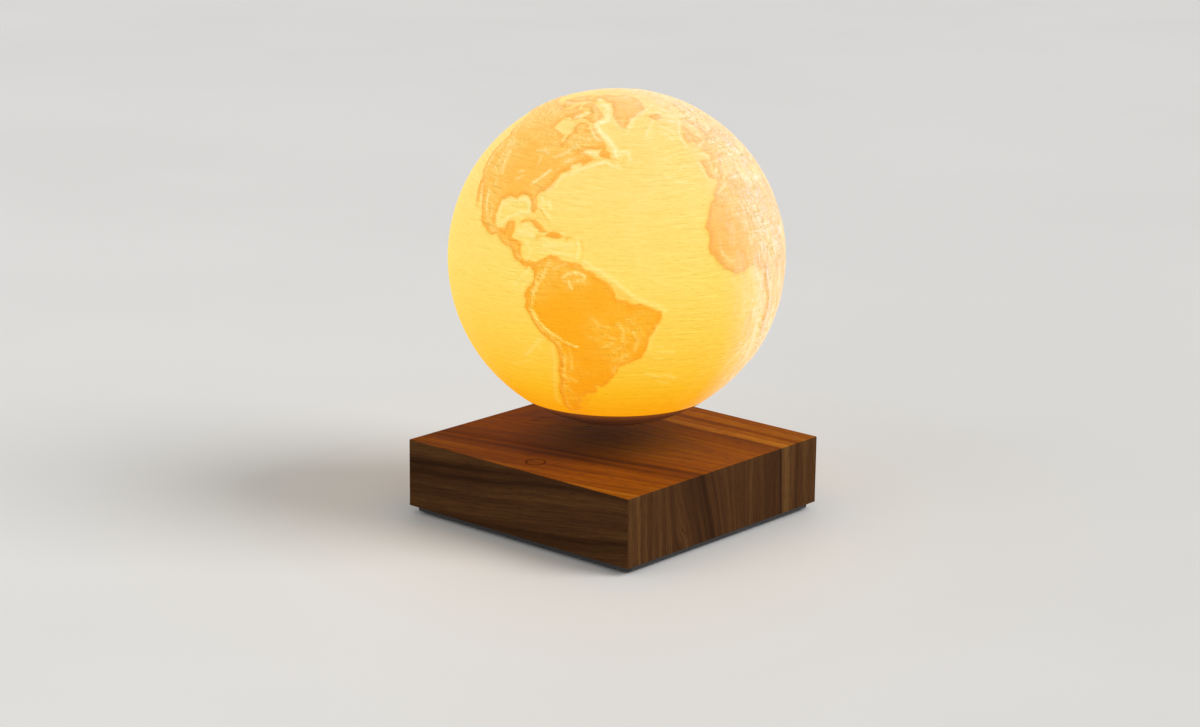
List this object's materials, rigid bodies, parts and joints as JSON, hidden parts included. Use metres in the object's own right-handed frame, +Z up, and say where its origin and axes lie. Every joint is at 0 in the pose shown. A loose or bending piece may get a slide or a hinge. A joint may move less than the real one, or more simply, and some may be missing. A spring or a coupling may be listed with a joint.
{
  "type": "levitating lamp",
  "caption": "Square wooden magnetic base with a lit relief globe that floats above it, spins freely and lifts off.",
  "frame": {"origin": "on the table, under the middle of the square base", "axes": "+Z up along the axis on which the globe floats and spins; -Y is the front with the touch ring, +Y the rear with the power socket"},
  "size_m": [0.1458, 0.1454, 0.1876],
  "materials": {
    "walnut": "oiled, open grain",
    "glue_block_wood": "sawn",
    "black_moulding": "fine satin",
    "foot_rubber": "matt",
    "steel": "zinc plated",
    "nickel": "nickel plated",
    "ferrite": "dull dark grey",
    "copper": "enamelled copper wire",
    "green_board": "solder mask",
    "white_board": "white solder mask",
    "white_moulding": "satin",
    "chip_black": "moulded",
    "can_aluminium": "drawn can",
    "lead_red": "insulated wire",
    "globe_plastic": "printed in fine layers, lit from inside",
    "cap_plastic": "opaque, satin",
    "lamp_face": "warm phosphor"
  },
  "bodies": {
    "base": {"wood_top": "walnut", "wood_front": "walnut", "wood_right": "walnut", "wood_rear": "walnut", "wood_left": "walnut", "corner_blocks": "glue_block_wood", "bottom_plate": "black_moulding", "module_frame": "black_moulding", "coil_bobbins": "black_moulding", "feet": "foot_rubber", "plate_screws": "steel", "module_screws": "steel", "coil_cores": "steel", "jack_pin": "nickel", "jack_nut": "nickel", "spacers": "nickel", "lift_ring_magnet": "ferrite", "inductor": "ferrite", "send_coil": "copper", "send_leads": "copper", "coil_windings": "copper", "touch_pad": "copper", "main_board": "green_board", "sensor_post": "green_board", "driver_chips": "chip_black", "control_chip": "chip_black", "hall_sensors": "chip_black", "dc_jack": "chip_black", "capacitors": "can_aluminium", "heat_sink": "can_aluminium", "power_leads": "lead_red", "touch_lead": "lead_red"},
    "float": {"float_magnet": "nickel"},
    "globe": {"globe_shell": "globe_plastic", "bottom_cap": "cap_plastic", "coil_tray": "white_moulding", "receive_coil": "copper", "receive_leads": "copper", "light_board": "white_board", "lamps": "lamp_face", "light_chips": "chip_black", "cap_screws": "steel"}
  },
  "joints": [
    {"name": "globe_lift", "type": "slide", "parent": "base", "child": "float", "axis": [0, 0, 1], "range_m": [-0.0087, 0.08], "stiffness_N_per_m": 100, "springref_m": 0.02494},
    {"name": "globe_spin", "type": "hinge", "parent": "float", "child": "globe", "pos_m": [0, 0, 0.1147], "axis": [0, 0, 1], "continuous": true}
  ]
}
